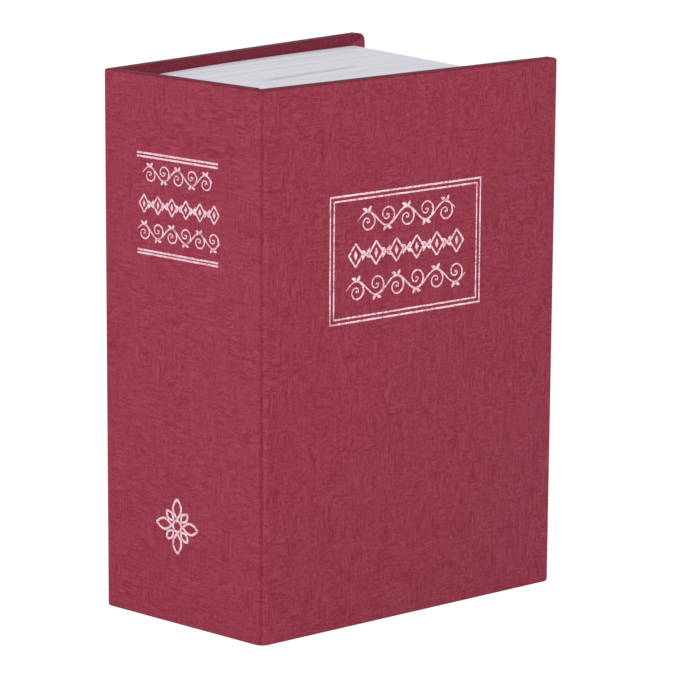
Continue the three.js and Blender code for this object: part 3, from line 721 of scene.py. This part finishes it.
# %% Leaves of the page block
gaps = block.data.attributes.new("leaf_gap", "FLOAT", "POINT")
for vertex in block.data.vertices:
    p = book_mm(vertex.co)
    if p.y < BLOCK_FRONT + NEAR or in_mouth(p, slack=NEAR):
        continue
    on_fore_edge = p.x > WIDTH - UPRIGHT_BAND
    shade = gap_depth(p.z if on_fore_edge else p.x, p.y) / FULL_SHADE
    gaps.data[vertex.index].value = min(FORE_LIMIT if on_fore_edge else 1, shade)
    if p.z > HEIGHT - LEVEL_BAND:
        vertex.co.z -= (leaf_depth(p.x, p.y, seed=1) + arch(p.x)) * MM
    elif p.z < LEVEL_BAND:
        vertex.co.z += leaf_depth(p.x, p.y, seed=5) * MM
    if on_fore_edge:
        vertex.co.x -= min(FORE_LIMIT, leaf_depth(p.z, p.y, seed=9)) * MM
modified(block, "SOLIDIFY", thickness=MOULDING_WALL * MM, offset=-1)
smooth(dress(block, page_plastic()), 30)
print("page block:", len(block.data.vertices), "vertices")

# %% [markdown]
# The foil is silver, stamped with a hot die. Its drawings are curves: each stroke is a line of
# points with a width at each one. The strokes are turned into a mesh, pressed almost flat, and laid
# on cover and spine. A real stamping misses the paper's valleys, so the foil is broken by the same
# emboss.


# %% Foil finish
def silver_foil():
    """Silver on the emboss's heights, with the paper's red in its valleys."""
    finish = Finish("silver_foil")
    height = paper_height(finish)
    cover = finish.ramp(height + finish.noise(0.25, detail=1) * 0.25, (0.5, 0.3), (0.68, 1))
    tone = finish.mix(cover, colour(158, 74, 94), colour(242, 209, 219))
    return finish.done(
        Base_Color=tone,
        Metallic=cover * 0.6,
        Roughness=0.55 - cover * 0.15,
        Normal=finish.bump(height, 0.1),
    )


foil = silver_foil()
FOIL = 0.05  # thickness of a foil stroke
PRESS = 0.12  # a round stroke is cut off this far from its middle, and then pressed to a foil

# %% Foil drawings
# From the page of a drawing (across, up, out of it) to the outer faces of cover and spine
FRONT_FACE = Matrix(((1, 0, 0, 0), (0, 0, -1, 0), (0, 1, 0, 0), (0, 0, 0, 1)))
SPINE_FACE = Matrix(((0, 0, -1, 0), (-1, 0, 0, DEPTH), (0, 1, 0, 0), (0, 0, 0, 1)))


def stamped(name, strokes, face):
    """Foil strokes on a face. A stroke is a list of (across, up, width) in millimetres."""
    curve = bpy.data.curves.new(name, "CURVE")
    curve.dimensions = "3D"
    curve.bevel_depth = 0.5  # so a point's radius is the stroke's width there
    curve.bevel_resolution = 1
    curve.use_fill_caps = True
    for stroke in strokes:
        spline = curve.splines.new("POLY")
        spline.points.add(len(stroke) - 1)
        for point, (across, up, width) in zip(spline.points, stroke):
            point.co = (across, up, 0, 1)
            point.radius = width
    piece = bpy.data.objects.new(name, curve)
    bpy.context.scene.collection.objects.link(piece)
    only(piece)
    bpy.ops.object.convert(target="MESH")
    piece = bpy.context.object
    for vertex in piece.data.vertices:
        vertex.co.z = max(-1, min(1, vertex.co.z / PRESS)) * FOIL / 2 - FOIL / 2 + SKIN
    into_scene = Matrix.Translation(corner) @ Matrix.Scale(MM, 4)
    piece.matrix_world = into_scene @ face
    return smooth(dress(settle(piece, name), foil), 60)


def ring(u0, u1, v0, v1, width):
    """A rectangle as four strokes with square corners. The die prints its uprights thinner."""
    half, slim = width / 2, 0.85 * width
    level = [[(u0, v, width), (u1, v, width)] for v in (v0 + half, v1 - half)]
    upright = [[(u, v0, slim), (u, v1, slim)] for u in (u0 + slim / 2, u1 - slim / 2)]
    return level + upright


def line(u0, u1, v, width):
    """One level stroke."""
    return [[(u0, v, width), (u1, v, width)]]


def tapered(points, width):
    """A stroke that swells in the middle and comes to a point at both ends."""
    last = len(points) - 1
    swellings = [0.15 + 0.85 * math.sin(math.pi * i / last) for i in range(last + 1)]
    return [(u, v, width * swelling) for (u, v), swelling in zip(points, swellings)]


def leaf(u, v, direction, length, width):
    """A leaf from its root, along a direction in degrees, with a slight bend."""
    points = []
    for i in range(9):
        share = i / 8
        bend = math.radians(direction + 25 * (share - 0.5))
        points.append((u + length * share * math.cos(bend), v + length * share * math.sin(bend)))
    return tapered(points, width)


def curl(u, v, start, sweep, radius, width):
    """A spiral about a centre, thinning towards its eye, and a dot in the eye."""
    points = []
    for i in range(29):
        share = i / 28
        angle = math.radians(start + sweep * share)
        reach = radius * (1 - 0.82 * share)
        place = (u + reach * math.cos(angle), v + reach * math.sin(angle))
        points.append((*place, width * (1 - 0.45 * share)))
    return [points, [(u - width * 0.5, v, width), (u + width * 0.5, v, width)]]


def vine(left, right, middle, height, curls, width):
    """A branch that waves along a row, with a curl in each hollow and leaves on each crest."""
    step = (right - left) / curls
    swing = 0.3 * height
    stem = []
    for i in range(curls * 12 + 1):
        share = i / (curls * 12)
        end = math.sin(math.pi * share) ** 0.5
        rise = swing * math.sin(math.pi * share * curls)
        stem.append((left + (right - left) * share, middle + rise, width * (0.3 + 0.7 * end)))
    strokes = [stem]
    for i in range(curls):
        side = 1 if i % 2 == 0 else -1
        u = left + (i + 0.5) * step
        eye, crest = middle - side * 0.1 * height, middle + side * swing
        strokes += curl(u, eye, 90 * side, -side * 470, 0.4 * height, width)
        for lean in (-50, 50):
            strokes.append(leaf(u, crest, side * (90 + lean), 0.26 * height, width * 1.7))
    return strokes


def lozenges(left, right, middle, height, count, width):
    """A row of diamonds with dots in them, joined by pairs of leaves."""
    strokes = []
    step = (right - left) / count
    half_u, half_v, dot = 0.34 * step, 0.46 * height, 0.18 * height
    for i in range(count):
        u = left + (i + 0.5) * step
        lower, upper = (u, middle - half_v), (u, middle + half_v)
        corners = [(u - half_u, middle), upper, (u + half_u, middle), lower]
        for a, b in zip(corners, corners[1:] + corners[:1]):
            strokes.append([(*a, width), (*b, width)])
        ends = [(u, middle + end, width * 0.4) for end in (-dot, dot)]
        strokes.append([ends[0], (u, middle, width * 2.2), ends[1]])
        if i + 1 < count:
            for lean in (40, 140, 220, 320):
                strokes.append(leaf(u + step / 2, middle, lean, 0.3 * height, width * 1.5))
    return strokes


def rosette(u, v, radius, width):
    """Eight petals round a ring, four of them long."""
    eye, turns = 0.2 * radius, 24
    circle = [math.radians(360 * i / turns) for i in range(turns + 1)]
    strokes = [[(u + eye * math.cos(a), v + eye * math.sin(a), width) for a in circle]]
    for k in range(8):
        reach = radius if k % 2 == 0 else 0.72 * radius
        spread = 0.2 if k % 2 == 0 else 0.13
        way = math.radians(45 * k)
        for side in (-1, 1):
            petal = []
            for i in range(13):
                share = i / 12
                out = 0.26 * radius + (reach - 0.26 * radius) * share
                off = side * spread * radius * math.sin(math.pi * share)
                x = out * math.cos(way) - off * math.sin(way)
                y = out * math.sin(way) + off * math.cos(way)
                petal.append((u + x, v + y, width))
            strokes.append(petal)
    return strokes


# %% Foil on the front cover
LABEL_LEFT, LABEL_RIGHT, LABEL_LOW, LABEL_HIGH = 17.43, 58.17, 64.86, 91.72  # from spine and foot
OUTER_RULE, RULE_GAP, INNER_RULE = 0.4, 0.6, 0.37
LABEL_STROKE = 0.42
inner = OUTER_RULE + RULE_GAP
inner_across = (LABEL_LEFT + inner, LABEL_RIGHT - inner)
frame_lines = ring(LABEL_LEFT, LABEL_RIGHT, LABEL_LOW, LABEL_HIGH, OUTER_RULE)
frame_lines += ring(*inner_across, LABEL_LOW + inner, LABEL_HIGH - inner, INNER_RULE)
# Each row: its two ends, the height of its middle line, how high it is, and how many forms it has
label_rows = vine(24.8, 51.0, 86.0, 5.6, 5, LABEL_STROKE)
label_rows += lozenges(21.6, 54.3, 78.9, 5.3, 6, LABEL_STROKE)
label_rows += vine(21.9, 54.0, 71.8, 5.6, 6, LABEL_STROKE)
front_foil = [
    swung_open(stamped("front_label_frame", frame_lines, FRONT_FACE)),
    swung_open(stamped("front_label_ornament", label_rows, FRONT_FACE)),
]

# %% Foil on the spine
RULE_LEFT, RULE_RIGHT, RULE_STROKE = 9.93, 32.75, 0.42
SPINE_STROKE = 0.36
ROSETTE_AT, ROSETTE_RADIUS, ROSETTE_STROKE = (21.0, 21.2), 5.9, 0.5
rules = []
for v in (98.82, 98.06, 78.52, 77.86):
    rules += line(RULE_LEFT, RULE_RIGHT, v, RULE_STROKE)
spine_rows = vine(11.6, 31.2, 94.8, 4.4, 5, SPINE_STROKE)
spine_rows += lozenges(9.9, 33.6, 88.3, 4.1, 6, SPINE_STROKE)
spine_rows += vine(9.9, 33.3, 82.6, 4.4, 6, SPINE_STROKE)
petals = rosette(*ROSETTE_AT, ROSETTE_RADIUS, ROSETTE_STROKE)
spine_foil = [
    stamped("spine_rules", rules, SPINE_FACE),
    stamped("spine_ornament", spine_rows, SPINE_FACE),
    stamped("spine_rosette", petals, SPINE_FACE),
]
print("foil pieces:", len(front_foil) + len(spine_foil))

# %% [markdown]
# Inside, the CAD solids have the right shape but knife-sharp edges. Each of the larger metal
# pieces is a copy of its node, with the loose triangles merged into whole faces and every edge
# softened by a small bevel. The small fixings stay as they are and only get their finish.


# %% Softened copies of the metal
def softened(name, node, radius, segments=2):
    """A copy of a CAD node with its edges rounded."""
    piece = nodes[node].copy()
    piece.data = nodes[node].data.copy()
    piece.parent = None
    bpy.context.scene.collection.objects.link(piece)
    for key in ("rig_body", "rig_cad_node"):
        del piece[key]
    piece.name = piece.data.name = name
    with Editing(piece):
        bpy.ops.mesh.select_all(action="SELECT")
        bpy.ops.mesh.remove_doubles(threshold=0.002 * MM)
        bpy.ops.mesh.dissolve_limited(angle_limit=math.radians(1))
    settings = {"width": radius * MM, "segments": segments, "limit_method": "ANGLE"}
    modified(piece, "BEVEL", angle_limit=math.radians(40), harden_normals=False, **settings)
    return smooth(piece, 40)


# %% [markdown]
# The metals: black powder coat with its orange peel, bright nickel turned on a lathe for the lock,
# zinc-plated steel for cam, keeper and fixings, and plain brass. Then the dull stuffs that hardly
# show: greyboard, foam and the white paper that is pasted down inside the covers.


# %% Finishes of the inside
def powder_coat():
    """Black, with an orange peel and paler specks."""
    finish = Finish("powder_coat_black")
    peel = finish.noise(0.55, detail=2)
    specks = finish.ramp(finish.noise(0.2, detail=1), (0.62, 0), (0.75, 1))
    tone = finish.mix(specks * 0.5, colour(31, 32, 34), colour(62, 63, 66))
    return finish.done(
        Base_Color=tone,
        Roughness=0.42 + peel * 0.2,
        Normal=finish.bump(peel, 0.03),
    )


def nickel(about):
    """Bright, with the rings of a lathe round an axis that runs in y."""
    finish = Finish("lock_nickel")
    radius = finish.distance_from_line(about, "xz")
    inputs = {"W": radius, "Scale": 9.0, "Detail": 3.0}
    rings = finish.node("ShaderNodeTexNoise", {"noise_dimensions": "1D"}, inputs)
    cloud = finish.noise(3, detail=2)
    return finish.done(
        Base_Color=finish.mix(cloud * 0.5, colour(206, 206, 208), colour(178, 180, 184)),
        Metallic=1.0,
        Roughness=0.2 + rings * 0.16,
        Normal=finish.bump(rings, 0.006),
    )


def plated_steel():
    """Bluish and yellowish in a slow bloom, with fine scratches."""
    finish = Finish("zinc_plated_steel")
    bloom = finish.noise(2.5, detail=3)
    scratches = finish.noise(0.18, finish.stretched(y=0.08), detail=2)
    return finish.done(
        Base_Color=finish.mix(bloom, colour(176, 180, 186), colour(196, 194, 186)),
        Metallic=1.0,
        Roughness=0.3 + scratches * 0.2,
        Normal=finish.bump(scratches, 0.006),
    )


def turned_brass():
    """Plain brass, a little cloudy."""
    finish = Finish("brass")
    bloom = finish.noise(2, detail=3)
    return finish.done(
        Base_Color=finish.mix(bloom, colour(196, 164, 96), colour(214, 186, 118)),
        Metallic=1.0,
        Roughness=0.28 + bloom * 0.15,
        Normal=finish.bump(finish.noise(0.3), 0.006),
    )


def grey_board():
    """Board of grey-brown fibres."""
    finish = Finish("grey_board")
    fibres = finish.noise(0.8, finish.stretched(x=0.4), detail=4, roughness=0.7)
    return finish.done(
        Base_Color=finish.mix(fibres, colour(128, 120, 108), colour(158, 150, 138)),
        Roughness=0.9,
        Normal=finish.bump(fibres, 0.08),
    )


def soft_foam():
    """Black foam with open cells."""
    finish = Finish("black_foam")
    cells = finish.noise(0.5, detail=3, roughness=0.7)
    return finish.done(
        Base_Color=finish.mix(cells, colour(28, 28, 29), colour(58, 58, 60)),
        Roughness=0.95,
        Normal=finish.bump(cells, 0.15),
    )


def white_endpaper():
    """Off-white paper with upright fibres."""
    finish = Finish("endpaper_white")
    fibres = finish.noise(0.6, finish.stretched(z=0.5), detail=4, roughness=0.65)
    cloud = finish.noise(9, detail=2)
    share = fibres * 0.5 + cloud * 0.5
    return finish.done(
        Base_Color=finish.mix(share, colour(222, 217, 208), colour(240, 237, 230)),
        Roughness=0.75,
        Specular_IOR_Level=0.3,
        Normal=finish.bump(fibres, 0.03),
    )


lock_axis = Vector(joints["lock_turn"]["pos_m"])
black, lock_metal, steel, brass = powder_coat(), nickel(lock_axis), plated_steel(), turned_brass()
board, foam, endpaper = grey_board(), soft_foam(), white_endpaper()

# %% Metal pieces
METAL = {  # new piece: CAD node, edge radius, finish, body, slot
    "cash_tray": ("tray", 0.22, black, "case", "powder_coat"),
    "tray_hinge_leaf": ("hinge_leaf", 0.12, black, "case", "powder_coat"),
    "steel_lid": ("lid", 0.2, black, "lid", "powder_coat"),
    "lock_case": ("lock_housing", 0.12, lock_metal, "lid", "zinc"),
    "lock_barrel": ("lock_plug", 0.1, lock_metal, "lock_rotor", "zinc"),
    "lock_hex_nut": ("lock_nut", 0.2, brass, "lid", "brass"),
    "lock_cam": ("cam", 0.15, steel, "lock_rotor", "fixing_steel"),
    "cam_keeper": ("keeper", 0.15, steel, "case", "fixing_steel"),
}
for name, (node, radius, finish, body, slot) in METAL.items():
    piece = dress(softened(name, node, radius), finish)
    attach(piece, body)
    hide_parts(node)



# %% Finishes of the CAD nodes that stay
def numbered(name, count):
    """The names of like nodes, which are numbered from 1."""
    return ["%s_%d" % (name, number) for number in range(1, count + 1)]


KEPT = {
    board: ["front_board", "spine_board"],
    endpaper: ["front_endpaper", "back_endpaper"],
    foam: numbered("foam_pad", 2),
    brass: numbered("wafer", 4),
    steel: ["hinge_pin", "lock_washer", "cam_screw"]
    + numbered("leaf_rivet", 2)
    + numbered("tray_screw", 4),
}
for finish, names in KEPT.items():
    for name in names:
        dress(nodes[name], finish)

# %% Which body each piece rides on
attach(case, "case")
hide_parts("spine_paper", "back_cover_paper")
dress(cased_board, board)
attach(cased_board, "case")
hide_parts("back_board")
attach(front, "cover")
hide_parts("front_cover_paper")
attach(back_turn_in, "case")
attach(front_turn_in, "cover")
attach(block, "case")
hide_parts("page_frame")
for piece in front_foil:
    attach(piece, "cover")
for piece in spine_foil:
    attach(piece, "case")

# %% [markdown]
# A plain white studio: a pale floor, a pale world that is brightest near the horizon, and two large
# soft lamps, a strong one to the left, before the spine, and a weaker one before the front cover.
# To the camera, and in reflections, floor and world are near white.

# %% Studio
bpy.ops.mesh.primitive_plane_add(size=6, location=(0, 0, 0))
floor = bpy.context.object
floor.name = "studio_floor"


def studio_white(name, plain, seen, share):
    """A stage material: plain for light, and lifted towards white where it is seen."""
    finish = Finish(name)
    rays = finish.node("ShaderNodeLightPath", output="Is Camera Ray")
    path = rays.socket.node
    glossy = Value(finish, path.outputs["Is Glossy Ray"])
    through = Value(finish, path.outputs["Is Transmission Ray"])
    looked_at = finish.maths("MINIMUM", rays + glossy + through, 1.0)
    plain_shader = finish.node("ShaderNodeBsdfDiffuse", inputs={"Color": plain})
    glow = finish.node("ShaderNodeEmission", inputs={"Color": (1, 1, 1, 1), "Strength": seen})
    shaders = {0: looked_at * share, 1: plain_shader, 2: glow}
    mixed = finish.node("ShaderNodeMixShader", inputs=shaders)
    output = finish.tree.nodes.new("ShaderNodeOutputMaterial")
    finish.tree.links.new(mixed.socket, output.inputs["Surface"])
    return finish.material


dress(floor, studio_white("floor_white", plain=(0.8, 0.8, 0.8, 1), seen=1.12, share=0.85))

# %% World
HORIZON, ZENITH = 0.97, 0.83  # how strong its light is at the sides and overhead
world = bpy.data.worlds.new("studio")
bpy.context.scene.world = world
world.use_nodes = True
tree = world.node_tree
tree.nodes.clear()
coordinates = tree.nodes.new("ShaderNodeTexCoord")
separate = tree.nodes.new("ShaderNodeSeparateXYZ")
tree.links.new(coordinates.outputs["Generated"], separate.inputs[0])
fade = tree.nodes.new("ShaderNodeMapRange")
fade.inputs["From Min"].default_value, fade.inputs["From Max"].default_value = 0.0, 0.8
fade.inputs["To Min"].default_value, fade.inputs["To Max"].default_value = HORIZON, ZENITH
tree.links.new(separate.outputs["Z"], fade.inputs["Value"])
rays = tree.nodes.new("ShaderNodeLightPath")
seen = tree.nodes.new("ShaderNodeMath")
seen.operation = "MAXIMUM"
tree.links.new(rays.outputs["Is Camera Ray"], seen.inputs[0])
tree.links.new(rays.outputs["Is Glossy Ray"], seen.inputs[1])
strength = tree.nodes.new("ShaderNodeMath")
strength.operation = "MAXIMUM"
tree.links.new(fade.outputs[0], strength.inputs[0])
tree.links.new(seen.outputs[0], strength.inputs[1])
background = tree.nodes.new("ShaderNodeBackground")
tree.links.new(strength.outputs[0], background.inputs["Strength"])
output = tree.nodes.new("ShaderNodeOutputWorld")
tree.links.new(background.outputs[0], output.inputs["Surface"])


# %% Lamps
def soft_lamp(name, place, size, power, aim=(0, 0, 0.05)):
    """A square area lamp that faces a point."""
    bpy.ops.object.light_add(type="AREA", location=place)
    lamp = bpy.context.object
    lamp.name = name
    lamp.data.size = size
    lamp.data.energy = power
    lamp.rotation_euler = (Vector(aim) - Vector(place)).to_track_quat("-Z", "Y").to_euler()


soft_lamp("key_lamp", (-1.15, -0.3, 0.12), size=0.9, power=12.8)
soft_lamp("front_lamp", (0.15, -1.2, 0.08), size=0.9, power=6.1)
bpy.context.scene.view_settings.view_transform = "Standard"
